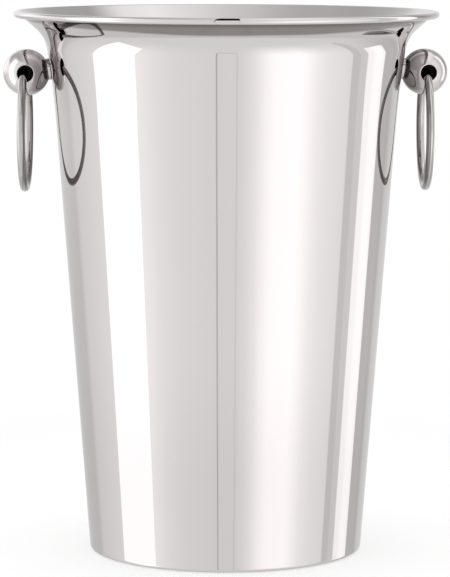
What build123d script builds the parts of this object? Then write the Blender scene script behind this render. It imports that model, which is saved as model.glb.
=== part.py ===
from build123d import *
import math
import os

# A champagne bucket of polished stainless steel. One sheet is spun into a tapered body whose
# top flares out and curls over into a closed bead. Two ball knobs are screwed on from inside,
# and a wire ring hangs from each ball, its two ends sprung into blind holes in the ball.
#
# Millimetres. The origin is the centre of the base on the ground, +Z is up, and the knobs
# stand on the +X (right) and -X (left) sides. The front is the -Y side.

# ---- driving dimensions: body ----
SHEET = 0.8                 # thickness of the spun sheet
HEIGHT = 260.0              # ground to the top of the rim bead
RIM_RADIUS = 101.6          # outermost radius of the rim bead, an 8 inch mouth
BEAD_RADIUS = 1.6           # outside radius of the rolled bead
BEAD_CURL = 285.0           # degrees that the sheet curls round inside the bead
BASE_RADIUS = 65.54         # radius of the cone where it meets the ground plane
WALL_TAPER = 4.40           # degrees that the straight wall leans outwards
FLARE_HEIGHT = 205.5        # where the straight wall starts to bend outwards
SHOULDER_RADIUS = 421.0     # long gentle bend at the start of the flare
SHOULDER_LEAN = 9.4         # degrees of lean where the long bend ends
LIP_LEAN = 48.1             # degrees of lean of the straight lip under the bead
CORNER_RADIUS = 2.0         # outside radius of the corner between wall and foot
RECESS_RADIUS = 54.0        # flat middle of the base, raised off the ground
RECESS_RISE = 2.0           # how far the flat middle is raised
RECESS_BEND = 3.0           # radius of the two bends that raise it

# ---- driving dimensions: knobs and rings ----
SEAT_HEIGHT = 232.3         # where a knob's axis meets the outside of the wall
KNOB_RADIUS = 11.1
KNOB_REACH = 11.35          # from the outside of the wall to the ball's centre
CROSS_RADIUS = 3.8          # the two blind cross holes that hold the ring's ends
CROSS_OFFSET = 0.8          # their axis past the ball's centre, away from the wall
CROSS_LIP = 0.4             # rounding of the cross holes' mouths
CROSS_WEB = 4.0             # solid middle of the ball between the cross holes
COLLAR_RADIUS = 5.15
RING_RADIUS = 27.7          # centre line of the ring's wire
WIRE_RADIUS = 1.95
WIRE_ROOM = 0.4             # between the middle of a wire's end and the web
WIRE_END_ROUND = 0.3
RING_TURN = {"left": -5.2, "right": -2.9}   # degrees that a ring hangs turned, from above
RING_LIFT = {"left": 0.52, "right": 0.29}   # its centre line's top above the holes' axis

# ---- driving dimensions: fixings, an M5 x 8 screw and its washer ----
SCREW_LENGTH = 8.0
SCREW_PITCH = 0.8
SCREW_RADIUS = 2.5
THREAD_DEPTH = 0.45
THREAD_CLEARANCE = 0.05
THREAD_END = 1.0            # room past the screw's tip in the tapped hole
HEAD_RADIUS = 4.75
HEAD_HEIGHT = 3.7
HEAD_RIM = 0.9              # straight side of the pan head under its crown
DRIVE_LENGTH = 4.8          # across the arms of the cross recess
DRIVE_WIDTH = 1.1
DRIVE_DEPTH = 2.2
DRIVE_TAPER = 12.0
WASHER_RADIUS = 5.0
WASHER_THICKNESS = 1.0
CLEAR_RADIUS = 2.75         # screw's hole in the wall and the collar
WASHER_HOLE = 2.65
SEAL_RADIUS = 6.0
SEAL_THICKNESS = 1.0
SEAL_HOLE = 2.56
OVERRUN = 1.5               # how far a cutting shape runs past what it cuts


class Skin:
    """A path in the plane of the axis, drawn by straights and tangent bends.

    The path is the sheet's outer skin moved `inset` towards the bucket's inside, which is
    always on its left, so that two skins with different insets stay parallel throughout.
    """

    def __init__(self, radius, height, inset):
        self.inset = inset
        self.heading = 0.0
        self.point = Vector(radius, 0, height + inset)
        self.edges = []

    def straight(self, length):
        way = math.radians(self.heading)
        end = self.point + Vector(math.cos(way), 0, math.sin(way)) * length
        self.edges.append(Edge.make_line(self.point, end))
        self.point = end

    def bend(self, radius, turn):
        """Turns by `turn` degrees, left if positive; radius is that of the outer skin."""
        side = 1 if turn > 0 else -1
        own_radius = radius - side * self.inset
        start_way = math.radians(self.heading)
        to_centre = Vector(-math.sin(start_way), 0, math.cos(start_way)) * side
        centre = self.point + to_centre * own_radius
        spokes = [
            centre - to_centre.rotate(Axis.Y, -turn * share) * own_radius
            for share in (0.5, 1.0)
        ]
        self.edges.append(Edge.make_three_point_arc(self.point, *spokes))
        self.point = spokes[1]
        self.heading += turn


def flare_sizes():
    """Radius of the sharp bend and length of the lip that bring the sheet to the bead.

    The lip's inner skin is tangent to the bead, whose centre follows from the height and
    the rim's radius. The two unknowns are the solution of two linear equations.
    """
    taper, shoulder, lip = map(math.radians, (WALL_TAPER, SHOULDER_LEAN, LIP_LEAN))
    bend_radius = BASE_RADIUS + FLARE_HEIGHT * math.tan(taper)
    bend_radius += SHOULDER_RADIUS * (math.cos(taper) - math.cos(shoulder))
    bend_height = FLARE_HEIGHT + SHOULDER_RADIUS * (math.sin(shoulder) - math.sin(taper))
    curl = BEAD_RADIUS - SHEET
    end_radius = RIM_RADIUS - BEAD_RADIUS - curl * math.cos(lip)
    end_height = HEIGHT - BEAD_RADIUS + curl * math.sin(lip)
    out = end_radius - bend_radius
    up = end_height - bend_height
    bend_out = math.cos(shoulder) - math.cos(lip)
    bend_up = math.sin(lip) - math.sin(shoulder)
    scale = bend_out * math.cos(lip) - bend_up * math.sin(lip)
    sharp_bend = (out * math.cos(lip) - up * math.sin(lip)) / scale
    lip_length = (bend_out * up - bend_up * out) / scale
    return sharp_bend, lip_length


def draw_skin(inset, with_bead):
    """The sheet's skin from the middle of the base up to the lip, or round the bead."""
    skin = Skin(0, RECESS_RISE, inset)
    skin.straight(RECESS_RADIUS)
    outer_bend = RECESS_BEND + SHEET
    step = math.degrees(math.acos(1 - RECESS_RISE / (RECESS_BEND + outer_bend)))
    skin.bend(RECESS_BEND, -step)
    skin.bend(outer_bend, step)
    recess_end = RECESS_RADIUS + (RECESS_BEND + outer_bend) * math.sin(math.radians(step))
    corner_turn = 90 - WALL_TAPER
    corner_start = BASE_RADIUS - CORNER_RADIUS * math.tan(math.radians(corner_turn / 2))
    skin.straight(corner_start - recess_end)
    skin.bend(CORNER_RADIUS, corner_turn)
    taper = math.radians(WALL_TAPER)
    wall_start = CORNER_RADIUS * (1 - math.sin(taper))
    skin.straight((FLARE_HEIGHT - wall_start) / math.cos(taper))
    sharp_bend, lip_length = flare_sizes()
    skin.bend(SHOULDER_RADIUS, WALL_TAPER - SHOULDER_LEAN)
    skin.bend(sharp_bend, SHOULDER_LEAN - LIP_LEAN)
    skin.straight(lip_length)
    if with_bead:
        skin.bend(BEAD_RADIUS - SHEET, -BEAD_CURL)
    return skin


def spin(edges):
    """Solid of revolution of a closed outline drawn in the plane of the axis."""
    return Solid.revolve(Face(Wire(edges)), 360, Axis.Z)


def space_within(inset):
    """Everything enclosed by one skin of the sheet, up to the lip."""
    skin = draw_skin(inset, with_bead=False)
    top = Vector(0, 0, skin.point.Z)
    bottom = Vector(0, 0, RECESS_RISE + inset)
    closing = [Edge.make_line(skin.point, top), Edge.make_line(top, bottom)]
    return spin(skin.edges + closing)


def wall_at_seat():
    """Outside radius and lean, in degrees, of the wall where a knob's axis meets it."""
    taper = math.radians(WALL_TAPER)
    climbed = (SEAT_HEIGHT - FLARE_HEIGHT) / SHOULDER_RADIUS
    lean = math.asin(math.sin(taper) + climbed)
    radius = BASE_RADIUS + FLARE_HEIGHT * math.tan(taper)
    radius += SHOULDER_RADIUS * (math.cos(taper) - math.cos(lean))
    return radius, math.degrees(lean)


def seat():
    """Place of the right knob: origin on the wall, local +Z outwards along the knob's axis.

    The axis is square to the leaning wall, so it points outwards and a little down.
    """
    radius, lean = wall_at_seat()
    return Location((radius, 0, SEAT_HEIGHT), (0, 90 + lean, 0))


def rod(radius, start, end):
    """Cylinder on the knob's axis, from start to end, measured outwards from the wall."""
    return Pos(0, 0, (start + end) / 2) * Cylinder(radius, end - start)


def threaded_rod(start, end, clearance):
    """Rod with M5 thread ridges, drawn as rings, its last ridge ending at `end`."""
    crest = SCREW_RADIUS + clearance
    root = crest - THREAD_DEPTH
    turns = int((end - start) / SCREW_PITCH)
    points = [(0, end), (root, end)]
    for turn in range(turns):
        level = end - turn * SCREW_PITCH
        points.append((root, level - 0.15 * SCREW_PITCH))
        points.append((crest, level - 0.45 * SCREW_PITCH))
        points.append((crest, level - 0.55 * SCREW_PITCH))
        points.append((root, level - 0.85 * SCREW_PITCH))
    points += [(root, start), (0, start)]
    outline = [Vector(radius, 0, height) for radius, height in points]
    return spin(Wire.make_polygon(outline, close=True).edges())


def screw_levels():
    """Levels along the knob's axis of the washer's two faces and of the screw's tip."""
    washer_top = -SHEET - SEAL_THICKNESS
    head_seat = washer_top - WASHER_THICKNESS
    return washer_top, head_seat, head_seat + SCREW_LENGTH


def make_body():
    """One-piece spun shell with the two screw holes in its wall."""
    outer = draw_skin(0, with_bead=True)
    inner = draw_skin(SHEET, with_bead=True)
    cut_end = Edge.make_line(outer.point, inner.point)
    middle = Edge.make_line((0, 0, RECESS_RISE), (0, 0, RECESS_RISE + SHEET))
    shell = spin(outer.edges + [cut_end] + inner.edges + [middle])
    hole = seat() * rod(CLEAR_RADIUS, -SHEET - OVERRUN, OVERRUN)
    return shell - hole - turned(hole)


def make_knob():
    """Ball with two rounded blind cross holes for the ring and a tapped one for the screw."""
    ball = Pos(0, 0, KNOB_REACH) * Sphere(KNOB_RADIUS)
    cross = Rot(0, 0, 90) * Cylinder(CROSS_RADIUS, 2 * KNOB_RADIUS + OVERRUN)
    cross -= Box(2 * KNOB_RADIUS, 2 * KNOB_RADIUS, CROSS_WEB)
    ball -= Pos(0, 0, KNOB_REACH + CROSS_OFFSET) * Rot(90, 0, 0) * cross
    mouths = ball.edges().filter_by(lambda edge: abs(edge.center().Y) > KNOB_RADIUS / 2)
    ball = fillet(mouths, CROSS_LIP)
    _, _, tip = screw_levels()
    ball -= threaded_rod(0, tip, THREAD_CLEARANCE)
    ball -= rod(SCREW_RADIUS - THREAD_DEPTH, tip, tip + THREAD_END)
    return seat() * ball


def make_collar():
    """Spacer saddled to the wall on one side and dished to the ball on the other."""
    collar = seat() * rod(COLLAR_RADIUS, -OVERRUN, KNOB_REACH / 2)
    collar -= seat() * Pos(0, 0, KNOB_REACH) * Sphere(KNOB_RADIUS)
    collar -= seat() * rod(CLEAR_RADIUS, -2 * OVERRUN, KNOB_REACH)
    return collar - space_within(0)


def make_seal():
    """Soft washer that stops water at the screw hole, moulded to the wall's inner skin."""
    washer_top, _, _ = screw_levels()
    seal = rod(SEAL_RADIUS, washer_top, 0) - rod(SEAL_HOLE, washer_top - 1, 1)
    return (seat() * seal) & space_within(SHEET)


def make_washer():
    """Plain M5 steel washer under the screw's head."""
    washer_top, head_seat, _ = screw_levels()
    washer = rod(WASHER_RADIUS, head_seat, washer_top)
    washer -= rod(WASHER_HOLE, head_seat - 1, washer_top + 1)
    return seat() * washer


def make_screw():
    """M5 x 8 pan head screw with a cross recess, driven from inside the bucket."""
    _, head_seat, tip = screw_levels()
    crown = HEAD_HEIGHT - HEAD_RIM
    rim_level = head_seat - HEAD_RIM
    top_level = head_seat - HEAD_HEIGHT
    plane = Plane((0, 0, rim_level), x_dir=(1, 0, 0), z_dir=(0, 1, 0))
    quarter = Edge.make_ellipse(HEAD_RADIUS, crown, plane, 0, 90)
    sides = Wire.make_polygon(
        [(0, 0, top_level), (0, 0, head_seat), (HEAD_RADIUS, 0, head_seat),
         (HEAD_RADIUS, 0, rim_level)], close=False)
    head = spin([quarter] + sides.edges())
    arms = Rectangle(DRIVE_LENGTH, DRIVE_WIDTH) + Rectangle(DRIVE_WIDTH, DRIVE_LENGTH)
    recess = extrude(Pos(0, 0, top_level) * arms, DRIVE_DEPTH, taper=DRIVE_TAPER)
    screw = head - recess + threaded_rod(head_seat, tip, 0)
    return seat() * screw


def make_ring(side):
    """Wire ring, open at its top, whose two ends sit in the cross holes of one knob.

    The holes are far wider than the wire, so at rest a ring hangs turned a little about the
    vertical, and the more it is turned the higher its wire rides on the holes' lips.
    """
    hole = (seat() * Pos(0, 0, KNOB_REACH + CROSS_OFFSET)).position
    place = hole.X if side == "right" else -hole.X
    ring = Rot(0, 90, 0) * Torus(RING_RADIUS, WIRE_RADIUS)
    opening = CROSS_WEB + 2 * WIRE_ROOM
    ring -= Pos(0, 0, RING_RADIUS) * Box(3 * WIRE_RADIUS, opening, 3 * WIRE_RADIUS)
    ring = fillet(ring.edges().group_by(Axis.Z)[-1], WIRE_END_ROUND)
    hang = Pos(place, 0, hole.Z + RING_LIFT[side] - RING_RADIUS)
    return hang * Rot(0, 0, RING_TURN[side]) * ring


def turned(shape):
    """The same piece on the other side of the bucket."""
    return Rot(0, 0, 180) * shape


os.makedirs("parts", exist_ok=True)
export_step(make_body(), "parts/bucket_body.step")
PIECES = {
    "knob": make_knob,
    "collar": make_collar,
    "seal": make_seal,
    "washer": make_washer,
    "screw": make_screw,
}
for name, make in PIECES.items():
    piece = make()
    export_step(piece, f"parts/right_{name}.step")
    export_step(turned(piece), f"parts/left_{name}.step")
for side in ("left", "right"):
    export_step(make_ring(side), f"parts/{side}_ring.step")
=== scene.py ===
import math

import bmesh
import bpy
from mathutils import Matrix, Vector


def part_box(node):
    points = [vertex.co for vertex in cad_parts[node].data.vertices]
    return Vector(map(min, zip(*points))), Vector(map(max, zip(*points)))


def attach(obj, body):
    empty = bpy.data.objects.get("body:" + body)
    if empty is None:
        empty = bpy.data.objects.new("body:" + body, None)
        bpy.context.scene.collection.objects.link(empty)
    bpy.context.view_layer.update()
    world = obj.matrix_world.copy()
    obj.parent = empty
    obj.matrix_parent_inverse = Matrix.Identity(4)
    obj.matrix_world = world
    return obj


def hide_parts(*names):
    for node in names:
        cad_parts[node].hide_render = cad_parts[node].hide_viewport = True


# The looks of a polished steel champagne bucket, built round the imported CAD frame. Metres.

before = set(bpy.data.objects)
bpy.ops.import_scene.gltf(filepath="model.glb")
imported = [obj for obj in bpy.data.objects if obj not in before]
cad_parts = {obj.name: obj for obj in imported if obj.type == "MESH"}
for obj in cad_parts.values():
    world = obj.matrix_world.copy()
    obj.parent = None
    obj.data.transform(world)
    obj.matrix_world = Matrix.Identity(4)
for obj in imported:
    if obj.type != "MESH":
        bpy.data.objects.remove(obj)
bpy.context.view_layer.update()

# ---- places and sizes that the frame gives ----
_, BODY_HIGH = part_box("bucket_body")
HEIGHT = BODY_HIGH.z
RIM_RADIUS = BODY_HIGH.x
KNOB_LOW, KNOB_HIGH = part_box("right_knob")
KNOB_RADIUS = (KNOB_HIGH.z - KNOB_LOW.z) / 2

# ---- shape values that a box can't give, the same as the CAD's ----
SHEET = 0.0008
BEAD_RADIUS = 0.0016
BASE_RADIUS = 0.06554
WALL_TAPER = math.radians(4.40)
FLARE_HEIGHT = 0.2055
SHOULDER_RADIUS = 0.421
SHOULDER_LEAN = math.radians(9.4)
LIP_LEAN = math.radians(48.1)
CORNER_RADIUS = 0.002
RECESS_RADIUS = 0.054
RECESS_RISE = 0.002
RECESS_BEND = 0.003
SEAT_HEIGHT = 0.2323
KNOB_REACH = 0.01135
CROSS_RADIUS = 0.0038
CROSS_OFFSET = 0.0008       # of the cross holes from the ball's centre, away from the wall
CROSS_LIP = 0.0004
CROSS_WEB = 0.004           # solid middle of the ball between its cross holes
COLLAR_RADIUS = 0.00515
CLEAR_RADIUS = 0.00275
TAP_RADIUS = 0.00255
TAP_DEPTH = 0.0062
RING_RADIUS = 0.0277        # centre line of a ring's wire
WIRE_RADIUS = 0.00195
WIRE_ROOM = 0.0004          # between the middle of a wire's end and the web
WIRE_END_ROUND = 0.0003
RING_TURN = {"left": math.radians(-5.2), "right": math.radians(-2.9)}

# ---- shape values of the looks alone ----
CURL = math.radians(266)    # curl of the bead up to its rounded end
COLLAR_RIM = 0.00022        # rounding of a collar's two rims

# ---- mesh fineness ----
BODY_COLUMNS = 360
END_STEPS = 6               # round the sheet's end inside the bead
PATCH_COLUMNS = 4           # columns on each side of a screw hole that its patch takes
PATCH_REACH = 0.006         # half height of the patch round a screw hole
KNOB_COLUMNS = 120
KNOB_ROWS = 60
KNOB_PATCH = 7              # columns on each side of the blind screw hole in a knob
BORE_STEPS = 10
LIP_STEPS = 10
COLLAR_COLUMNS = 96
COLLAR_STEPS = 8
RIM_STEPS = 4
RING_ROWS = 288
RING_COLUMNS = 64
RING_END_STEPS = 5
ON_AXIS = 1e-7              # a radius under this is on the axis


# ======================= mesh building =======================

class Builder:
    """Collects vertices with exact normals, and faces, for one piece.

    Each vertex also has a mark from 0 to 1 for its material to read. It is the satin finish on
    the body, and on a ball the bore, which its material paints with shade.
    """

    def __init__(self):
        self.points = []
        self.normals = []
        self.marks = []
        self.faces = []

    def vertex(self, point, normal, mark=0.0):
        self.points.append(Vector(point))
        self.normals.append(Vector(normal).normalized())
        self.marks.append(mark)
        return len(self.points) - 1

    def bridge(self, first, second):
        """Quads between two closed loops of the same count."""
        count = len(first)
        for i in range(count):
            j = (i + 1) % count
            self.faces.append((first[i], first[j], second[j], second[i]))

    def fan(self, loop, centre):
        count = len(loop)
        for i in range(count):
            self.faces.append((loop[i], loop[(i + 1) % count], centre))

    def finish(self, name, place=None):
        """Makes the object, its face directions set outwards and its normals exact."""
        mesh = bpy.data.meshes.new(name)
        mesh.from_pydata(self.points, [], self.faces)
        work = bmesh.new()
        work.from_mesh(mesh)
        bmesh.ops.recalc_face_normals(work, faces=work.faces)
        work.to_mesh(mesh)
        work.free()
        mesh.polygons.foreach_set("use_smooth", [True] * len(mesh.polygons))
        attribute = mesh.attributes.new("mark", "FLOAT", "POINT")
        attribute.data.foreach_set("value", self.marks)
        if place is not None:
            mesh.transform(place)
            turn = place.to_3x3()
            self.normals = [(turn @ normal).normalized() for normal in self.normals]
        mesh.normals_split_custom_set_from_vertices(self.normals)
        piece = bpy.data.objects.new(name, mesh)
        bpy.context.scene.collection.objects.link(piece)
        return piece


def revolve(mesh, rows, columns, closed=False, skip=lambda row, column: False):
    """Turns rows of (radius, height, normal out, normal up, mark) about Z.

    A row on the axis becomes one vertex. Returns the grid of vertex numbers.
    """
    grid = []
    for radius, height, out, up, mark in rows:
        if radius < ON_AXIS:
            grid.append(mesh.vertex((0, 0, height), (0, 0, up), mark))
            continue
        loop = []
        for column in range(columns):
            angle = 2 * math.pi * column / columns
            across, along = math.cos(angle), math.sin(angle)
            point = (radius * across, radius * along, height)
            loop.append(mesh.vertex(point, (out * across, out * along, up), mark))
        grid.append(loop)
    last = len(rows) if closed else len(rows) - 1
    for row in range(last):
        below, above = grid[row], grid[(row + 1) % len(rows)]
        if isinstance(below, int):
            mesh.fan(above, below)
        elif isinstance(above, int):
            mesh.fan(below, above)
        else:
            for column in range(columns):
                if not skip(row, column):
                    nxt = (column + 1) % columns
                    mesh.faces.append((below[column], below[nxt], above[nxt], above[column]))
    return grid


def patch_border(rows, middle, reach, columns):
    """Walk round the patch of rows and of columns about a middle column.

    Each entry is (row, column, share), where share runs from -1 at the first row to 1.
    """
    low, high = rows
    left, right = middle - reach, middle + reach
    walk = [(low, column) for column in range(left, right)]
    walk += [(row, right) for row in range(low, high)]
    walk += [(high, column) for column in range(right, left, -1)]
    walk += [(row, left) for row in range(high, low, -1)]
    return [(row, column % columns, 2 * (row - low) / (high - low) - 1) for row, column in walk]


def punch(mesh, border, flat, radius, surface, rings=4):
    """Fills the surface inside a border down to a round hole, and returns the hole's loop.

    flat holds the border's places in the surface's own two directions from the hole.
    """
    previous = border
    for ring in range(1, rings + 1):
        share = ring / rings
        loop = []
        for across, along in flat:
            reach = math.hypot(across, along)
            scale = 1 - share + share * radius / reach
            loop.append(mesh.vertex(*surface(across * scale, along * scale)))
        mesh.bridge(previous, loop)
        previous = loop
    return previous


def matched(mesh, first, second):
    """The second loop in the order of the first, each vertex facing its nearest."""
    def nearest(number):
        place = mesh.points[number]
        return min(second, key=lambda other: (mesh.points[other] - place).length)

    return [nearest(number) for number in first]


# ======================= the body =======================

class Skin:
    """Rows of the sheet's outer skin, moved by inset towards the bucket's inside."""

    def __init__(self, radius, height, inset):
        self.inset = inset
        self.heading = 0.0
        self.point = Vector((radius, height + inset))
        self.rows = [(*self.point, self.heading)]

    def straight(self, length, steps=1):
        start = self.point
        way = Vector((math.cos(self.heading), math.sin(self.heading)))
        for step in range(1, steps + 1):
            self.point = start + way * length * step / steps
            self.rows.append((*self.point, self.heading))

    def bend(self, radius, turn, steps):
        """Turns left by turn if it is positive; radius is that of the outer skin."""
        side = math.copysign(1, turn)
        own_radius = radius - side * self.inset
        start = self.heading
        centre = self.point + side * own_radius * Vector((-math.sin(start), math.cos(start)))
        for step in range(1, steps + 1):
            self.heading = start + turn * step / steps
            spoke = Vector((math.sin(self.heading), -math.cos(self.heading)))
            self.point = centre + side * own_radius * spoke
            self.rows.append((*self.point, self.heading))
        return centre, own_radius


def flare_sizes():
    """Radius of the sharp bend and length of the lip that bring the sheet to the bead."""
    bend_radius = BASE_RADIUS + FLARE_HEIGHT * math.tan(WALL_TAPER)
    bend_radius += SHOULDER_RADIUS * (math.cos(WALL_TAPER) - math.cos(SHOULDER_LEAN))
    bend_height = FLARE_HEIGHT
    bend_height += SHOULDER_RADIUS * (math.sin(SHOULDER_LEAN) - math.sin(WALL_TAPER))
    curl = BEAD_RADIUS - SHEET
    out = RIM_RADIUS - BEAD_RADIUS - curl * math.cos(LIP_LEAN) - bend_radius
    up = HEIGHT - BEAD_RADIUS + curl * math.sin(LIP_LEAN) - bend_height
    bend_out = math.cos(SHOULDER_LEAN) - math.cos(LIP_LEAN)
    bend_up = math.sin(LIP_LEAN) - math.sin(SHOULDER_LEAN)
    scale = bend_out * math.cos(LIP_LEAN) - bend_up * math.sin(LIP_LEAN)
    sharp_bend = (out * math.cos(LIP_LEAN) - up * math.sin(LIP_LEAN)) / scale
    return sharp_bend, (bend_out * up - bend_up * out) / scale


def seat_lean():
    """Lean of the wall where a knob's axis meets it."""
    return math.asin(math.sin(WALL_TAPER) + (SEAT_HEIGHT - FLARE_HEIGHT) / SHOULDER_RADIUS)


def seat_radius():
    radius = BASE_RADIUS + FLARE_HEIGHT * math.tan(WALL_TAPER)
    return radius + SHOULDER_RADIUS * (math.cos(WALL_TAPER) - math.cos(seat_lean()))


def draw_skin(inset):
    """One skin of the sheet from the middle of the base round to the bead's curled end.

    Also returns the numbers of the rows that bound the screw holes' patches, and the
    centre and radius of the long bend that they lie on.
    """
    skin = Skin(0, RECESS_RISE, inset)
    skin.straight(RECESS_RADIUS, 12)
    outer_bend = RECESS_BEND + SHEET
    both = RECESS_BEND + outer_bend
    step = math.acos(1 - RECESS_RISE / both)
    skin.bend(RECESS_BEND, -step, 8)
    skin.bend(outer_bend, step, 8)
    corner_turn = math.pi / 2 - WALL_TAPER
    corner_start = BASE_RADIUS - CORNER_RADIUS * math.tan(corner_turn / 2)
    skin.straight(corner_start - RECESS_RADIUS - both * math.sin(step), 3)
    skin.bend(CORNER_RADIUS, corner_turn, 14)
    wall_start = CORNER_RADIUS * (1 - math.sin(WALL_TAPER))
    skin.straight((FLARE_HEIGHT - wall_start) / math.cos(WALL_TAPER), 60)
    half_patch = PATCH_REACH / SHOULDER_RADIUS
    skin.bend(SHOULDER_RADIUS, WALL_TAPER - seat_lean() + half_patch, 10)
    low = len(skin.rows) - 1
    bend = skin.bend(SHOULDER_RADIUS, -2 * half_patch, 2 * PATCH_COLUMNS)
    high = len(skin.rows) - 1
    skin.bend(SHOULDER_RADIUS, seat_lean() + half_patch - SHOULDER_LEAN, 4)
    sharp_bend, lip_length = flare_sizes()
    skin.bend(sharp_bend, SHOULDER_LEAN - LIP_LEAN, 28)
    skin.straight(lip_length, 10)
    skin.bend(BEAD_RADIUS - SHEET, -CURL, 64)
    return skin, (low, high), bend


def body_rows(outer, inner):
    """The closed section: outer skin, the sheet's rounded end, inner skin back to the axis."""
    rows = [(r, z, math.sin(way), -math.cos(way), 0.0) for r, z, way in outer.rows]
    end = (outer.point + inner.point) / 2
    way = outer.heading
    for step in range(1, END_STEPS):
        angle = way - math.pi / 2 + math.pi * step / END_STEPS
        spoke = Vector((math.cos(angle), math.sin(angle)))
        rows.append((*(end + spoke * SHEET / 2), spoke.x, spoke.y, 0.0))
    for r, z, way in reversed(inner.rows):
        lean = math.pi / 2 - way
        satin = min(1, max(0, (LIP_LEAN - lean) / (LIP_LEAN - SHOULDER_LEAN)))
        rows.append((r, z, -math.sin(way), math.cos(way), satin))
    return rows


def bend_surface(bend, side, inward, satin):
    """Place and normal on the long bend, at distances across and up from a screw hole."""
    centre, radius = bend
    seat_way = math.pi / 2 - seat_lean()

    def surface(across, along):
        way = seat_way - along / SHOULDER_RADIUS
        out, up = math.sin(way), -math.cos(way)
        from_axis = centre.x - radius * out
        turn = math.asin(across / from_axis)
        point = Vector((math.cos(turn) * from_axis, across, centre.y - radius * up))
        normal = Vector((math.cos(turn) * out, math.sin(turn) * out, up)) * inward
        flip = Vector((side, side, 1))
        return point * flip, normal * flip, satin

    return surface


def make_body():
    """The spun shell with a patch and a round hole for each knob's screw."""
    mesh = Builder()
    outer, patch, outer_bend = draw_skin(0)
    inner, _, inner_bend = draw_skin(SHEET)
    rows = body_rows(outer, inner)
    last = len(rows) - 1
    inner_patch = (last - patch[1], last - patch[0])
    middles = (0, BODY_COLUMNS // 2)

    def in_patch(row, column):
        near = any(
            (column - middle + PATCH_COLUMNS) % BODY_COLUMNS < 2 * PATCH_COLUMNS
            for middle in middles
        )
        return near and any(low <= row < high for low, high in (patch, inner_patch))

    grid = revolve(mesh, rows, BODY_COLUMNS, skip=in_patch)
    for side, middle in zip((1, -1), middles):
        holes = []
        for limits, bend, inward in ((patch, outer_bend, 1), (inner_patch, inner_bend, -1)):
            walk = patch_border(limits, middle, PATCH_COLUMNS, BODY_COLUMNS)
            border = [grid[row][column] for row, column, _ in walk]
            flat = [
                (mesh.points[number].y * side, share * PATCH_REACH * inward)
                for number, (_, _, share) in zip(border, walk)
            ]
            surface = bend_surface(bend, side, inward, mesh.marks[border[0]])
            holes.append(punch(mesh, border, flat, CLEAR_RADIUS, surface))
        mesh.bridge(holes[0], matched(mesh, *holes))
    return mesh.finish("body_shell")


# ======================= knobs, collars and rings =======================

def knob_place(side):
    """From a knob's own frame to the bucket's: +Z out along its axis, origin on the wall."""
    foot = Matrix.Translation((seat_radius(), 0, SEAT_HEIGHT))
    lean = Matrix.Rotation(math.pi / 2 + seat_lean(), 4, "Y")
    return Matrix.Rotation(0 if side > 0 else math.pi, 4, "Z") @ foot @ lean


def great_circle(first, second, share):
    """Direction that is a share of the way round the ball from one place to another."""
    return first.normalized().slerp(second.normalized(), share)


def mouth_point(turn, side, share):
    """Place and normal on a cross hole's rounded mouth, in the ball's own frame.

    The holes run along Z at CROSS_OFFSET from the ball's centre. Share runs from 0, where the
    lip meets the hole, to 1, where it meets the ball.
    """
    out = Vector((math.cos(turn), math.sin(turn), 0))
    axis = Vector((-CROSS_OFFSET, 0, 0))
    foot = axis + out * (CROSS_RADIUS + CROSS_LIP)
    level = math.sqrt((KNOB_RADIUS - CROSS_LIP) ** 2 - foot.length_squared)
    centre = foot + Vector((0, 0, side * level))
    start = -out
    end = centre.normalized()
    normal = start.slerp(end, share)
    return centre + normal * CROSS_LIP, normal


def cross_hole(mesh, end):
    """Rounded mouth, bore and flat bottom of one cross hole. Returns the mouth's outer loop."""
    turns = [2 * math.pi * column / KNOB_COLUMNS for column in range(KNOB_COLUMNS)]
    lip = []
    for step in range(LIP_STEPS + 1):
        share = step / LIP_STEPS
        # The bore and the inner edge of its mouth are marked for painted shade.
        dark = 1.0 if step == 0 else 0.0
        lip.append([mesh.vertex(*mouth_point(turn, end, share), dark) for turn in turns])
    for first, second in zip(lip, lip[1:]):
        mesh.bridge(first, second)
    bottom = Vector((-CROSS_OFFSET, 0, end * CROSS_WEB / 2))
    previous = lip[0]
    for step in range(1, BORE_STEPS + 1):
        loop = []
        for turn, number in zip(turns, lip[0]):
            place = mesh.points[number].copy()
            place.z += (bottom.z - place.z) * step / BORE_STEPS
            loop.append(mesh.vertex(place, (-math.cos(turn), -math.sin(turn), 0), 1.0))
        mesh.bridge(previous, loop)
        previous = loop
    facing = (0, 0, end)
    rim = [mesh.vertex(mesh.points[number], facing, 1.0) for number in previous]
    mesh.fan(rim, mesh.vertex(bottom, facing, 1.0))
    return lip[-1]


def screw_hole(mesh, border):
    """Fills the ball inside a border down to the blind hole for the screw, at its +X pole."""
    def surface(across, along):
        depth = math.sqrt(KNOB_RADIUS ** 2 - across ** 2 - along ** 2)
        point = Vector((depth, across, along))
        return point, point

    flat = [(mesh.points[number].y, mesh.points[number].z) for number in border]
    mouth = punch(mesh, border, flat, TAP_RADIUS, surface)
    floor = KNOB_REACH - TAP_DEPTH
    bottom = []
    for number in mouth:
        point = mesh.points[number]
        bottom.append(mesh.vertex((floor, point.y, point.z), (1, 0, 0)))
    mesh.bridge(mouth, bottom)
    mesh.fan(bottom, mesh.vertex((floor, 0, 0), (1, 0, 0)))


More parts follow.
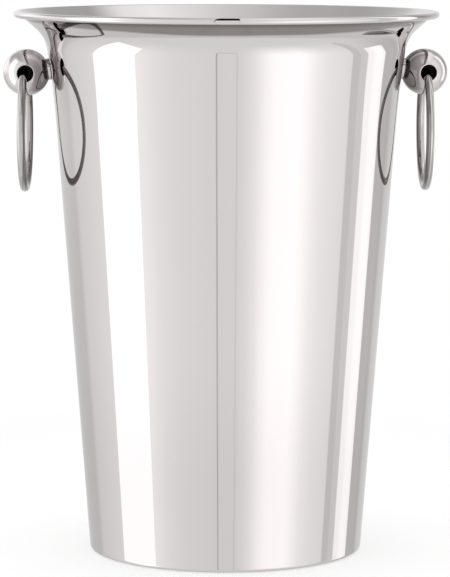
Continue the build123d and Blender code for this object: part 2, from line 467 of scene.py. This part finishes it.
def make_knob(name, side):
    """Ball with two blind cross holes and, on the wall's side, the one for the screw.

    In the ball's own frame +X faces the wall and the cross holes run along Z.
    """
    mesh = Builder()
    mouths = {end: cross_hole(mesh, end) for end in (-1, 1)}
    grid = [mouths[-1]]
    for step in range(1, KNOB_ROWS):
        loop = []
        for low, high in zip(mouths[-1], mouths[1]):
            normal = great_circle(mesh.points[low], mesh.points[high], step / KNOB_ROWS)
            loop.append(mesh.vertex(normal * KNOB_RADIUS, normal))
        grid.append(loop)
    grid.append(mouths[1])
    half_rows = KNOB_PATCH + 2
    limits = (KNOB_ROWS // 2 - half_rows, KNOB_ROWS // 2 + half_rows)
    for row in range(KNOB_ROWS):
        for column in range(KNOB_COLUMNS):
            near = (column + KNOB_PATCH) % KNOB_COLUMNS < 2 * KNOB_PATCH
            if near and limits[0] <= row < limits[1]:
                continue
            nxt = (column + 1) % KNOB_COLUMNS
            below, above = grid[row], grid[row + 1]
            mesh.faces.append((below[column], below[nxt], above[nxt], above[column]))
    walk = patch_border(limits, 0, KNOB_PATCH, KNOB_COLUMNS)
    screw_hole(mesh, [grid[row][column] for row, column, _ in walk])
    # The cross holes are along the bucket's Y, and the ball's +X faces the wall.
    stand = Matrix(((0, -1, 0, 0), (0, 0, 1, 0), (-1, 0, 0, KNOB_REACH), (0, 0, 0, 1)))
    return mesh.finish(name, knob_place(side) @ stand)


def wall_level(across, along):
    """Level of the wall's outer skin in a knob's frame, beside the knob's axis."""
    round_radius = seat_radius() / math.cos(seat_lean())
    return -across ** 2 / (2 * round_radius) + along ** 2 / (2 * SHOULDER_RADIUS)


def make_collar(name, side):
    """Spacer dished to the ball and saddled to the wall, its two rims rounded."""
    flat_radius = COLLAR_RADIUS - COLLAR_RIM

    def ball_level(radius):
        return KNOB_REACH - math.sqrt(KNOB_RADIUS ** 2 - radius ** 2)

    loops = []
    for step in range(COLLAR_STEPS + 1):
        radius = CLEAR_RADIUS + (flat_radius - CLEAR_RADIUS) * step / COLLAR_STEPS
        loops.append(("ball", radius, 0.0))
    for step in range(1, RIM_STEPS + 1):
        loops.append(("ball_rim", flat_radius, math.pi / 2 * (1 - step / RIM_STEPS)))
    for step in range(RIM_STEPS):
        loops.append(("wall_rim", flat_radius, -math.pi / 2 * step / RIM_STEPS))
    for step in range(COLLAR_STEPS + 1):
        radius = flat_radius - (flat_radius - CLEAR_RADIUS) * step / COLLAR_STEPS
        loops.append(("wall", radius, 0.0))
    mesh = Builder()
    grid = []
    for kind, radius, angle in loops:
        loop = []
        for column in range(COLLAR_COLUMNS):
            turn = 2 * math.pi * column / COLLAR_COLUMNS
            across, along = math.sin(turn), math.cos(turn)
            spot, out, up = radius, math.cos(angle), math.sin(angle)
            if kind == "ball":
                level = ball_level(radius)
                out, up = -radius / KNOB_RADIUS, (KNOB_REACH - level) / KNOB_RADIUS
            elif kind == "wall":
                level = wall_level(across * radius, along * radius)
                out, up = 0, -1
            else:
                spot = radius + COLLAR_RIM * out
                if kind == "ball_rim":
                    level = ball_level(radius) - COLLAR_RIM
                else:
                    level = wall_level(across * radius, along * radius) + COLLAR_RIM
                level += COLLAR_RIM * up
            normal = (along * out, across * out, up)
            loop.append(mesh.vertex((along * spot, across * spot, level), normal))
        grid.append(loop)
    for number, loop in enumerate(grid):
        mesh.bridge(loop, grid[(number + 1) % len(grid)])
    return mesh.finish(name, knob_place(side))


def ring_centre(low, high):
    """Centre of a ring from its box; its top is open, so the height is from its foot."""
    centre = (low + high) / 2
    centre.z = low.z + RING_RADIUS + WIRE_RADIUS
    return centre


def make_ring(name, centre, turn):
    """Wire ring, open at its top with two rounded ends, turned a little about Z."""
    mesh = Builder()
    axle = Vector((math.cos(turn), math.sin(turn), 0))
    sideways = Vector((-math.sin(turn), math.cos(turn), 0))
    half_opening = CROSS_WEB / 2 + WIRE_ROOM
    first = math.asin((half_opening + WIRE_END_ROUND) / RING_RADIUS)
    last = 2 * math.pi - first
    leans = [math.pi / 2 * step / RING_END_STEPS for step in range(RING_END_STEPS + 1)]
    loops = [(first, -1, lean) for lean in reversed(leans)]
    for step in range(1, RING_ROWS):
        loops.append((first + (last - first) * step / RING_ROWS, 0, 0.0))
    loops += [(last, 1, lean) for lean in leans]
    grid = []
    for angle, end, lean in loops:
        spoke = sideways * math.sin(angle) + Vector((0, 0, math.cos(angle)))
        along = sideways * math.cos(angle) - Vector((0, 0, math.sin(angle)))
        reach = WIRE_RADIUS - WIRE_END_ROUND * (1 - math.cos(lean))
        middle = centre + spoke * RING_RADIUS
        middle += along * end * WIRE_END_ROUND * math.sin(lean)
        loop = []
        for column in range(RING_COLUMNS):
            around = 2 * math.pi * column / RING_COLUMNS
            out = spoke * math.cos(around) + axle * math.sin(around)
            normal = out * math.cos(lean) + along * end * math.sin(lean)
            loop.append(mesh.vertex(middle + out * reach, normal))
        grid.append(loop)
    for loop, following in zip(grid, grid[1:]):
        mesh.bridge(loop, following)
    for loop in (grid[0], grid[-1]):
        middle = sum((mesh.points[number] for number in loop), Vector()) / RING_COLUMNS
        mesh.fan(loop, mesh.vertex(middle, mesh.normals[loop[0]]))
    return mesh.finish(name)


# ======================= shader nodes =======================

class Nodes:
    """Short calls that add nodes to a tree; a value may be a number or another's socket."""

    def __init__(self, tree):
        self.tree = tree
        tree.nodes.clear()

    def add(self, kind, inputs=(), **settings):
        node = self.tree.nodes.new("ShaderNode" + kind)
        for name, value in settings.items():
            setattr(node, name, value)
        for name, value in dict(inputs).items():
            if isinstance(value, bpy.types.NodeSocket):
                self.tree.links.new(value, node.inputs[name])
            else:
                node.inputs[name].default_value = value
        return node

    def math(self, operation, *values):
        node = self.add("Math", dict(enumerate(values)), operation=operation)
        return node.outputs[0]

    def mix(self, share, first, second):
        inputs = {"Factor": share, "A": first, "B": second}
        return self.add("Mix", inputs, data_type="FLOAT").outputs[0]

    def blend(self, share, first, second):
        """Mixes two colours."""
        inputs = {"Factor": share, "A": first, "B": second}
        return self.add("Mix", inputs, data_type="RGBA").outputs[2]

    def step(self, value, start, end, low=0.0, high=1.0):
        """Runs smoothly from low to high as value goes from start to end."""
        inputs = {"Value": value, "From Min": start, "From Max": end}
        inputs.update({"To Min": low, "To Max": high})
        return self.add("MapRange", inputs, interpolation_type="SMOOTHSTEP").outputs[0]

    def band(self, value, left, right, soft):
        """1 between left and right, and 0 outside, with edges that are soft wide."""
        rise = self.step(value, left - soft / 2, left + soft / 2)
        fall = self.step(value, right - soft / 2, right + soft / 2, 1.0, 0.0)
        return self.math("MULTIPLY", rise, fall)

    def ramp(self, share, stops):
        """Grey levels at places from 0 to 1."""
        node = self.add("ValToRGB", {"Fac": share})
        elements = node.color_ramp.elements
        while len(elements) < len(stops):
            elements.new(0.5)
        for element, (place, level) in zip(elements, stops):
            element.position = place
            element.color = (level, level, level, 1)
        return node.outputs["Color"]

    def noise(self, vector, scale, detail=2.0, roughness=0.5):
        inputs = {"Vector": vector, "Scale": scale, "Detail": detail, "Roughness": roughness}
        return self.add("TexNoise", inputs).outputs[0]

    def scaled(self, vector, scale):
        node = self.add("VectorMath", {0: vector, 1: scale}, operation="MULTIPLY")
        return node.outputs[0]

    def bump(self, height, strength, distance, normal=None):
        inputs = {"Height": height, "Strength": strength, "Distance": distance}
        if normal is not None:
            inputs["Normal"] = normal
        return self.add("Bump", inputs).outputs[0]


def light(display):
    """Linear light for a display level from 0 (black) to 1 (white)."""
    return display / 12.92 if display < 0.04045 else ((display + 0.055) / 1.055) ** 2.4


def new_material(name):
    material = bpy.data.materials.new(name)
    material.use_nodes = True
    return material, Nodes(material.node_tree)


def shade(nodes, inputs):
    shader = nodes.add("BsdfPrincipled", inputs)
    output = nodes.add("OutputMaterial")
    nodes.tree.links.new(shader.outputs[0], output.inputs[0])


# ======================= materials =======================

STEEL_SHINE = 0.64          # the share of the studio's light that the steel gives back
STEEL_TINT = (0.655, 0.620, 0.621, 1)
# Real wear along hairline scratches, and painted shade low on the wall.
WEAR_AND_SHADE_TINT = (0.56, 0.53, 0.53, 1)
# Painted shade: the dark band under the rim, in place of the dark below that the steel
# reflects.
RIM_SHADE_TINT = (0.19, 0.158, 0.152, 1)
# Colour of the wire's random dark streaks, and of painted shade towards the wall and where
# parts meet.
STREAK_AND_SHADE_TINT = (0.13, 0.118, 0.112, 1)
RING_TINT = (0.54, 0.525, 0.51, 1)
# Painted shade for the blind bores.
BORE_SHADE_TINT = (0.02, 0.018, 0.017, 1)
MACHINED_TINT = (0.72, 0.71, 0.69, 1)
# Painted shade in corners.
CORNER_SHADE_TINT = (0.16, 0.15, 0.14, 1)
RUBBER_TINTS = ((0.30, 0.30, 0.29, 1), (0.44, 0.44, 0.42, 1))
FOOT_SCUFF = 0.0004         # height up to which the foot is scuffed
LOW_SHADE_HEIGHTS = (0.11, 0.035)    # painted shade: the wall grows a little darker from the first height to the second
RIM_SHADE_FOOT = 0.2508          # lowest height of the painted shade under the rim, at the front and back
RIM_SHADE_RISE = 0.43            # its foot rises by this times the square of the way to a side
RIM_SHADE_WAVER = 0.0012
RIM_SHADE_DEPTH = 0.0023         # from where the painted shade is darkest down to where it thins out


def body_steel():
    """Mirror polished spun steel: satin inside, painted shade low down and under the rim,
    scuffed where it stands.
    """
    material, nodes = new_material("body_steel")
    place = nodes.add("TexCoord").outputs["Object"]
    height = nodes.add("SeparateXYZ", {0: place}).outputs["Z"]
    satin = nodes.add("Attribute", attribute_name="mark").outputs["Fac"]
    spin = nodes.noise(nodes.scaled(place, (4, 4, 2600)), 1.0, 4.0, 0.6)
    fine_spin = nodes.noise(nodes.scaled(place, (12, 12, 9000)), 1.0, 2.0)
    hairs = nodes.noise(nodes.scaled(place, (160, 160, 5200)), 1.0, 3.0, 0.7)
    hair = nodes.step(hairs, 0.60, 0.74)
    smudge = nodes.step(nodes.noise(place, 26.0, 5.0, 0.6), 0.52, 0.72)
    foot = nodes.step(height, FOOT_SCUFF, 0.0, 0.0, 1.0)
    polish = nodes.mix(smudge, 0.022, 0.05)
    polish = nodes.math("MULTIPLY_ADD", hair, 0.03, polish)
    grain = nodes.mix(spin, 0.16, 0.30)
    rough = nodes.mix(satin, polish, grain)
    rough = nodes.mix(foot, rough, 0.38)
    wave = nodes.noise(nodes.scaled(place, (22, 22, 7)), 1.0, 1.0)
    normal = nodes.bump(wave, 1.0, 0.000012)
    strength = nodes.mix(satin, 0.012, 0.12)
    normal = nodes.bump(spin, strength, 0.00004, normal)
    normal = nodes.bump(fine_spin, strength, 0.00001, normal)
    # Painted shade darkens the wall towards its foot; the hairlines add real wear.
    low_shade = nodes.step(height, *LOW_SHADE_HEIGHTS, 0.0, 0.45)
    wear_and_low_shade = nodes.math("MULTIPLY_ADD", hair, 0.12, low_shade)
    colour = nodes.blend(wear_and_low_shade, STEEL_TINT, WEAR_AND_SHADE_TINT)
    # Painted shade under the rim.
    colour = nodes.blend(painted_rim_shade(nodes, place, height), colour, RIM_SHADE_TINT)
    shade(nodes, {"Base Color": colour, "Metallic": 1.0, "Roughness": rough,
                  "Normal": normal})
    return material


def painted_rim_shade(nodes, place, height):
    """Painted shade under the curled bead, standing in for the dark below that the steel
    reflects; less of it by the handles.
    """
    facing = nodes.add("SeparateXYZ", {0: nodes.add("TexCoord").outputs["Normal"]})
    down = nodes.step(facing.outputs["Z"], -0.45, -0.62)
    ragged = nodes.noise(nodes.scaled(place, (22, 22, 0)), 1.0, 2.0)
    sideways = nodes.add("SeparateXYZ", {0: place}).outputs["X"]
    edge = nodes.math("MULTIPLY_ADD", nodes.math("POWER", sideways, 2.0), RIM_SHADE_RISE, RIM_SHADE_FOOT)
    edge = nodes.math("MULTIPLY_ADD", ragged, RIM_SHADE_WAVER, edge)
    above_edge = nodes.step(nodes.math("SUBTRACT", height, edge), -0.0004, 0.0008)
    bead_foot = HEIGHT - 2 * BEAD_RADIUS
    deep = nodes.step(height, bead_foot - RIM_SHADE_DEPTH, bead_foot, 0.76, 1.0)
    unshaded_bead = nodes.step(height, bead_foot - 0.0002, bead_foot + 0.0003, 1.0, 0.0)
    share = nodes.math("MULTIPLY", above_edge, deep)
    share = nodes.math("MULTIPLY", share, unshaded_bead)
    return nodes.math("MULTIPLY", share, down)


def wall_side(nodes, side):
    """How far a surface faces the bucket's wall from the side of a handle, from -1 to 1."""
    normal = nodes.add("TexCoord").outputs["Normal"]
    return nodes.math("MULTIPLY", nodes.add("SeparateXYZ", {0: normal}).outputs["X"], -side)


def crevice_shade(nodes, reach, shut, open_sky, most):
    """Painted shade where parts meet, by the share of the sky that they leave open within
    reach.
    """
    corner = nodes.add("AmbientOcclusion", {"Distance": reach}, samples=8).outputs["AO"]
    return nodes.step(corner, shut, open_sky, most, 0.0)


def ball_steel(name, side):
    """Mirror polished turned balls and collars, with painted shade in the bore, on the side
    towards the wall and where parts meet.
    """
    material, nodes = new_material(name)
    place = nodes.add("TexCoord").outputs["Object"]
    bore = nodes.add("Attribute", attribute_name="mark").outputs["Fac"]
    buff = nodes.noise(nodes.scaled(place, (900, 3000, 900)), 1.0, 3.0, 0.6)
    smudge = nodes.step(nodes.noise(place, 120.0, 4.0), 0.48, 0.7)
    rough = nodes.mix(smudge, 0.03, 0.07)
    rough = nodes.math("MULTIPLY_ADD", nodes.step(buff, 0.55, 0.75), 0.04, rough)
    rough = nodes.mix(bore, rough, 0.5)
    normal = nodes.bump(nodes.noise(place, 90.0, 1.0), 0.6, 0.00001)
    normal = nodes.bump(buff, 0.02, 0.00001, normal)
    # Painted shade on the side that faces the wall.
    wall_shade = nodes.step(wall_side(nodes, side), -0.25, 0.75, 0.0, 0.82)
    colour = nodes.blend(wall_shade, STEEL_TINT, STREAK_AND_SHADE_TINT)
    # Painted shade where parts meet.
    corner_shade = crevice_shade(nodes, 0.0012, 0.25, 0.85, 0.85)
    colour = nodes.blend(corner_shade, colour, STREAK_AND_SHADE_TINT)
    # Painted shade in the bore.
    colour = nodes.blend(bore, colour, BORE_SHADE_TINT)
    shade(nodes, {"Base Color": colour, "Metallic": 1.0, "Roughness": rough,
                  "Normal": normal})
    return material


def ring_steel(name, centre, side):
    """Polished drawn wire with lines that run along it, and painted shade towards the wall."""
    material, nodes = new_material(name)
    place = nodes.add("TexCoord").outputs["Object"]
    moved = nodes.add("VectorMath", {0: place, 1: centre}, operation="SUBTRACT").outputs[0]
    parts = nodes.add("SeparateXYZ", {0: moved})
    flat = nodes.add("CombineXYZ", {"X": parts.outputs["Y"], "Y": parts.outputs["Z"]})
    reach = nodes.add("VectorMath", {0: flat.outputs[0]}, operation="LENGTH").outputs["Value"]
    section = nodes.add("CombineXYZ", {"X": reach, "Y": parts.outputs["X"]}).outputs[0]
    drawn = nodes.noise(section, 2600.0, 3.0, 0.6)
    streak = nodes.step(nodes.noise(section, 900.0, 2.0, 0.5), 0.48, 0.64, 0.0, 0.62)
    wear = nodes.step(nodes.noise(place, 140.0, 5.0, 0.65), 0.5, 0.72)
    rough = nodes.mix(drawn, 0.04, 0.11)
    rough = nodes.math("MULTIPLY_ADD", wear, 0.07, rough)
    normal = nodes.bump(drawn, 0.10, 0.00002)
    # Painted shade on the side that faces the wall.
    wall_shade = nodes.step(wall_side(nodes, side), -0.25, 0.8, 0.0, 0.8)
    colour = nodes.blend(streak, RING_TINT, STREAK_AND_SHADE_TINT)
    colour = nodes.blend(wall_shade, colour, STREAK_AND_SHADE_TINT)
    shade(nodes, {"Base Color": colour, "Metallic": 1.0, "Roughness": rough,
                  "Normal": normal})
    return material


def fixing_steel():
    """Plain machined steel with painted shade in its corners."""
    material, nodes = new_material("fixing_steel")
    place = nodes.add("TexCoord").outputs["Object"]
    lines = nodes.noise(nodes.scaled(place, (3800, 700, 700)), 1.0, 3.0, 0.6)
    spots = nodes.noise(place, 420.0, 4.0)
    # Painted shade in the corners.
    corner_shade = crevice_shade(nodes, 0.0015, 0.35, 0.9, 0.7)
    colour = nodes.blend(corner_shade, MACHINED_TINT, CORNER_SHADE_TINT)
    rough = nodes.mix(spots, 0.20, 0.36)
    normal = nodes.bump(lines, 0.08, 0.00003)
    shade(nodes, {"Base Color": colour, "Metallic": 1.0, "Roughness": rough,
                  "Normal": normal})
    return material


def seal_rubber():
    """Translucent grey silicone with a moulded, slightly dusty skin."""
    material, nodes = new_material("seal_rubber")
    place = nodes.add("TexCoord").outputs["Object"]
    skin = nodes.noise(place, 2600.0, 4.0, 0.6)
    dust = nodes.noise(place, 260.0, 5.0)
    colour = nodes.blend(dust, *RUBBER_TINTS)
    rough = nodes.mix(skin, 0.45, 0.65)
    normal = nodes.bump(skin, 0.15, 0.00003)
    shade(nodes, {"Base Color": colour, "Roughness": rough, "Normal": normal,
                  "Subsurface Weight": 0.15, "Subsurface Scale": 0.001})
    return material


# ======================= the studio =======================

CAMERA_TURN = math.radians(4.5)     # the camera stands a little to the left of the front
CAMERA_DROP = math.radians(6.78)    # and looks down a little
CAMERA_ROLL = math.radians(-0.12)
CAMERA_PLACE = (-0.0008, -1.555, 0.3111)    # before its turn about the bucket
CAMERA_LENS = 202.4
FLOOR_GAP = 0.0003                  # between the foot and the floor, so that they don't flicker
FLOOR_FADE = (0.10, 0.5)            # distances between which the floor fades out
FLOOR_CLEAR = 0.6                   # how clear it is by the foot
SKY_LEVEL = 1.4                     # even light on all that isn't a mirror

# The studio round the bucket is given as the display levels that it shows in the steel.
# Azimuth is in degrees, 0 towards the camera and +90 to the right.
WALLS = [
    (-180, 0.70), (-150, 0.70), (-132, 0.72), (-126, 0.79), (-98, 0.85), (-60, 0.92),
    (-48, 0.875), (-34, 0.843), (-4, 0.818), (8, 0.822), (14, 0.852), (20, 0.895),
    (26, 0.955), (33, 1.0), (50, 1.01), (56, 0.98), (64, 0.925), (73, 0.892), (89, 0.86),
    (98, 0.785), (104, 0.79), (126, 0.70), (135, 0.695), (141, 0.665), (148, 0.74),
    (180, 0.72),
]
# The same walls above the horizon, and higher up.
UPPER_WALLS = [
    (-180, 0.76), (-169, 0.81), (-152, 0.86), (-146, 0.95), (-139, 0.98), (-98, 0.90),
    (-60, 0.90), (-35, 0.84), (-8, 0.80), (12, 0.82), (60, 0.88), (100, 0.78), (127, 0.60),
    (133, 0.52), (140, 0.62), (151, 0.68), (162, 0.70), (180, 0.76),
]
LOFT_WALLS = [
    (-180, 0.66), (-154, 0.72), (-149, 0.675), (-139, 0.63), (-120, 0.66), (-98, 0.80),
    (-60, 0.88), (-35, 0.84), (-8, 0.80), (12, 0.82), (60, 0.88), (100, 0.78), (126, 0.70),
    (139, 0.62), (154, 0.62), (165, 0.64), (180, 0.66),
]
# Light overhead, by the sideways part of the direction from -1 on the left to 1.
CEILING = [
    (-1.0, 0.70), (-0.72, 0.66), (-0.6, 0.61), (-0.45, 0.63), (-0.39, 0.66), (-0.335, 0.66),
    (-0.275, 0.68), (-0.195, 0.717), (-0.11, 0.755), (0.0, 0.785), (0.1, 0.835),
    (0.165, 0.855), (0.25, 0.886), (0.315, 0.915), (0.375, 0.895), (0.42, 0.88),
    (0.5, 0.84), (0.62, 0.74), (0.8, 0.68), (1.0, 0.70),
]
# Crisp panels and gaps: left and right azimuth, softness of the edges in degrees, display
# level, the azimuth that the panel faces, and its drop below the horizon to its foot.
PANELS = [
    (-96.3, -62, 0.8, 1.03, -110, 1.18),
    (-6.9, -5.9, 0.6, 0.66, 0, 0.66),
    (6.6, 7.5, 0.7, 0.77, 0, 0.66),
    (90.2, 97.5, 1.6, 0.75, 105, 1.15),
    (104.7, 124.5, 1.0, 0.962, 105, 0.50),
    (112, 121.5, 5, 0.995, 105, 0.50),
]
# The foot that joins the two narrow gaps in front, given as left and right azimuth, display
# level, drop below the horizon and thickness.
GAP_FOOT = (-6.4, 7.0, 0.66, 0.66, 0.030)
GROUND_LEVEL = 0.81         # display level of the light table at the bucket's foot
SHADE_LEVEL = 0.745         # and of the bucket's own shade on it
SHADE_AXIS = (0, 0.6, -0.8)
SHADE_EDGE = (0.78, 0.86)   # cosines of the angle from that axis, at the soft edge
FOOT_EDGE = (-0.02, 0.03)   # heights over a panel's foot, at its soft edge
# Elevations in degrees between which each part of the studio takes over.
GROUND_BLEND = (-20, -62)
UPPER_BLEND = (-10, 4)
LOFT_BLEND = (20, 31)
CEILING_BLEND = (46, 60)
# The black bar overhead: places along it and half widths, in the camera's direction.
BAR = [(-0.97, 0.118), (-0.39, 0.054), (-0.10, 0.031), (0.08, 0.019)]
BAR_HEIGHT = 0.50           # above the rim
BAR_MIDDLE = 0.006


def stops(table, low, high):
    """A table of places and display levels as a colour ramp's stops."""
    return [((place - low) / (high - low), light(level)) for place, level in table]


def above_foot(nodes, way, facing, drop):
    """How far a direction lies above a panel's foot, which is level on the panel."""
    facing = math.radians(facing)
    face = (math.sin(facing) * drop, -math.cos(facing) * drop, 1)
    above = nodes.add("VectorMath", {0: way, 1: face}, operation="DOT_PRODUCT")
    return above.outputs["Value"]


def studio_level(nodes, way):
    """Light that the steel sees from a direction, before the steel dims it."""
    parts = nodes.add("SeparateXYZ", {0: way})
    across, up = parts.outputs["X"], parts.outputs["Z"]
    towards = nodes.math("MULTIPLY", parts.outputs["Y"], -1.0)
    azimuth = nodes.math("DEGREES", nodes.math("ARCTAN2", across, towards))
    elevation = nodes.math("DEGREES", nodes.math("ARCSINE", up))
    share = nodes.math("MULTIPLY_ADD", azimuth, 1 / 360, 0.5)
    level = nodes.ramp(share, stops(WALLS, -180, 180))
    level = nodes.mix(nodes.step(elevation, *GROUND_BLEND), level, light(GROUND_LEVEL))
    upper = nodes.ramp(share, stops(UPPER_WALLS, -180, 180))
    level = nodes.mix(nodes.step(elevation, *UPPER_BLEND), level, upper)
    loft = nodes.ramp(share, stops(LOFT_WALLS, -180, 180))
    level = nodes.mix(nodes.step(elevation, *LOFT_BLEND), level, loft)
    for left, right, soft, bright, facing, drop in PANELS:
        cover = nodes.band(azimuth, left, right, soft)
        above = above_foot(nodes, way, facing, drop)
        cover = nodes.math("MULTIPLY", cover, nodes.step(above, *FOOT_EDGE))
        level = nodes.mix(cover, level, light(bright))
    left, right, bright, drop, thick = GAP_FOOT
    above = above_foot(nodes, way, 0, drop)
    cover = nodes.band(above, -thick / 2, thick / 2, thick / 2)
    cover = nodes.math("MULTIPLY", cover, nodes.band(azimuth, left, right, 0.6))
    level = nodes.mix(cover, level, light(bright))
    ceiling = nodes.ramp(nodes.math("MULTIPLY_ADD", across, 0.5, 0.5), stops(CEILING, -1, 1))
    level = nodes.mix(nodes.step(elevation, *CEILING_BLEND), level, ceiling)
    under = nodes.add("VectorMath", {0: way, 1: SHADE_AXIS}, operation="DOT_PRODUCT")
    shade = nodes.step(under.outputs["Value"], *SHADE_EDGE)
    return nodes.mix(shade, level, light(SHADE_LEVEL))


def make_world():
    """Steel sees the studio, the camera sees plain white, and all else an even sky."""
    world = bpy.data.worlds.new("studio")
    bpy.context.scene.world = world
    world.use_nodes = True
    nodes = Nodes(world.node_tree)
    way = nodes.add("VectorRotate", {"Vector": nodes.add("TexCoord").outputs["Generated"],
                                     "Angle": CAMERA_TURN}, rotation_type="Z_AXIS")
    level = nodes.math("DIVIDE", studio_level(nodes, way.outputs[0]), STEEL_SHINE)
    rays = nodes.add("LightPath")
    level = nodes.mix(rays.outputs["Is Diffuse Ray"], level, SKY_LEVEL)
    level = nodes.mix(rays.outputs["Is Camera Ray"], level, 1.0)
    background = nodes.add("Background", {"Color": (1, 1, 1, 1), "Strength": level})
    output = nodes.add("OutputWorld")
    world.node_tree.links.new(background.outputs[0], output.inputs[0])


def make_bar():
    """Black bar between the lights overhead, seen only in the steel."""
    corners = [(BAR_MIDDLE - half, along, 0) for along, half in BAR]
    corners += [(BAR_MIDDLE + half, along, 0) for along, half in reversed(BAR)]
    mesh = bpy.data.meshes.new("light_bar")
    mesh.from_pydata(corners, [], [tuple(range(len(corners)))])
    mesh.transform(Matrix.Rotation(-CAMERA_TURN, 4, "Z"))
    bar = bpy.data.objects.new("light_bar", mesh)
    bpy.context.scene.collection.objects.link(bar)
    bar.location.z = HEIGHT + BAR_HEIGHT
    material, nodes = new_material("black_bar")
    felt = nodes.noise(nodes.add("TexCoord").outputs["Object"], 60.0, 3.0)
    black = nodes.add("Emission", {"Strength": nodes.mix(felt, 0.001, 0.004)})
    output = nodes.add("OutputMaterial")
    nodes.tree.links.new(black.outputs[0], output.inputs[0])
    mesh.materials.append(material)
    bar.visible_camera = False
    bar.visible_diffuse = False
    bar.visible_shadow = False


def make_floor():
    """Pale floor round the bucket that fades into the white of the studio."""
    bpy.ops.mesh.primitive_grid_add(x_subdivisions=2, y_subdivisions=2, size=6)
    floor = bpy.context.object
    floor.name = "floor"
    floor.location.z = -FLOOR_GAP
    material, nodes = new_material("floor_paper")
    place = nodes.add("TexCoord").outputs["Object"]
    reach = nodes.add("VectorMath", {0: place}, operation="LENGTH").outputs["Value"]
    back = nodes.add("NewGeometry").outputs["Backfacing"]
    clear = nodes.math("MAXIMUM", back, nodes.step(reach, *FLOOR_FADE, FLOOR_CLEAR, 1.0))
    fibre = nodes.noise(place, 900.0, 4.0)
    paper = nodes.add("BsdfDiffuse", {"Color": (0.9, 0.9, 0.9, 1),
                                      "Normal": nodes.bump(fibre, 0.05, 0.0001)})
    glass = nodes.add("BsdfTransparent")
    both = nodes.add("MixShader", {0: clear, 1: paper.outputs[0], 2: glass.outputs[0]})
    output = nodes.add("OutputMaterial")
    nodes.tree.links.new(both.outputs[0], output.inputs[0])
    floor.data.materials.append(material)
    floor.visible_glossy = False


def make_camera():
    """Long lens a little above the bucket's rim, as the bucket is seen in its picture."""
    data = bpy.data.cameras.new("camera")
    data.lens = CAMERA_LENS
    camera = bpy.data.objects.new("camera", data)
    bpy.context.scene.collection.objects.link(camera)
    camera.rotation_euler = (math.pi / 2 - CAMERA_DROP, CAMERA_ROLL, -CAMERA_TURN)
    camera.location = Matrix.Rotation(-CAMERA_TURN, 3, "Z") @ Vector(CAMERA_PLACE)
    data.clip_start, data.clip_end = 0.05, 50
    bpy.context.scene.camera = camera


# ======================= assembly =======================

def dress(piece, body, slot, material, *nodes):
    piece.data.materials.append(material)
    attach(piece, body)
    if nodes:
        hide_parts(*nodes)


def repaint(node, material):
    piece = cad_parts[node]
    piece.data.materials.clear()
    piece.data.materials.append(material)


fixing, rubber = fixing_steel(), seal_rubber()
dress(make_body(), "bucket", "body_steel", body_steel(), "bucket_body")
for hand, side in (("left", -1), ("right", 1)):
    polished = ball_steel(f"{hand}_ball_steel", side)
    knob = make_knob(f"{hand}_ball", side)
    dress(knob, "bucket", "knob_steel", polished, f"{hand}_knob")
    collar = make_collar(f"{hand}_spacer", side)
    dress(collar, "bucket", "knob_steel", polished, f"{hand}_collar")
    centre = ring_centre(*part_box(f"{hand}_ring"))
    ring = make_ring(f"{hand}_wire_ring", centre, RING_TURN[hand])
    wire = ring_steel(f"{hand}_ring_steel", centre, side)
    dress(ring, f"{hand}_ring", "ring_steel", wire, f"{hand}_ring")
    repaint(f"{hand}_screw", fixing)
    repaint(f"{hand}_washer", fixing)
    repaint(f"{hand}_seal", rubber)

make_world()
make_floor()
make_bar()
make_camera()
scene = bpy.context.scene
scene.view_settings.view_transform = "Standard"
scene.cycles.glossy_bounces = 10
scene.cycles.max_bounces = 14
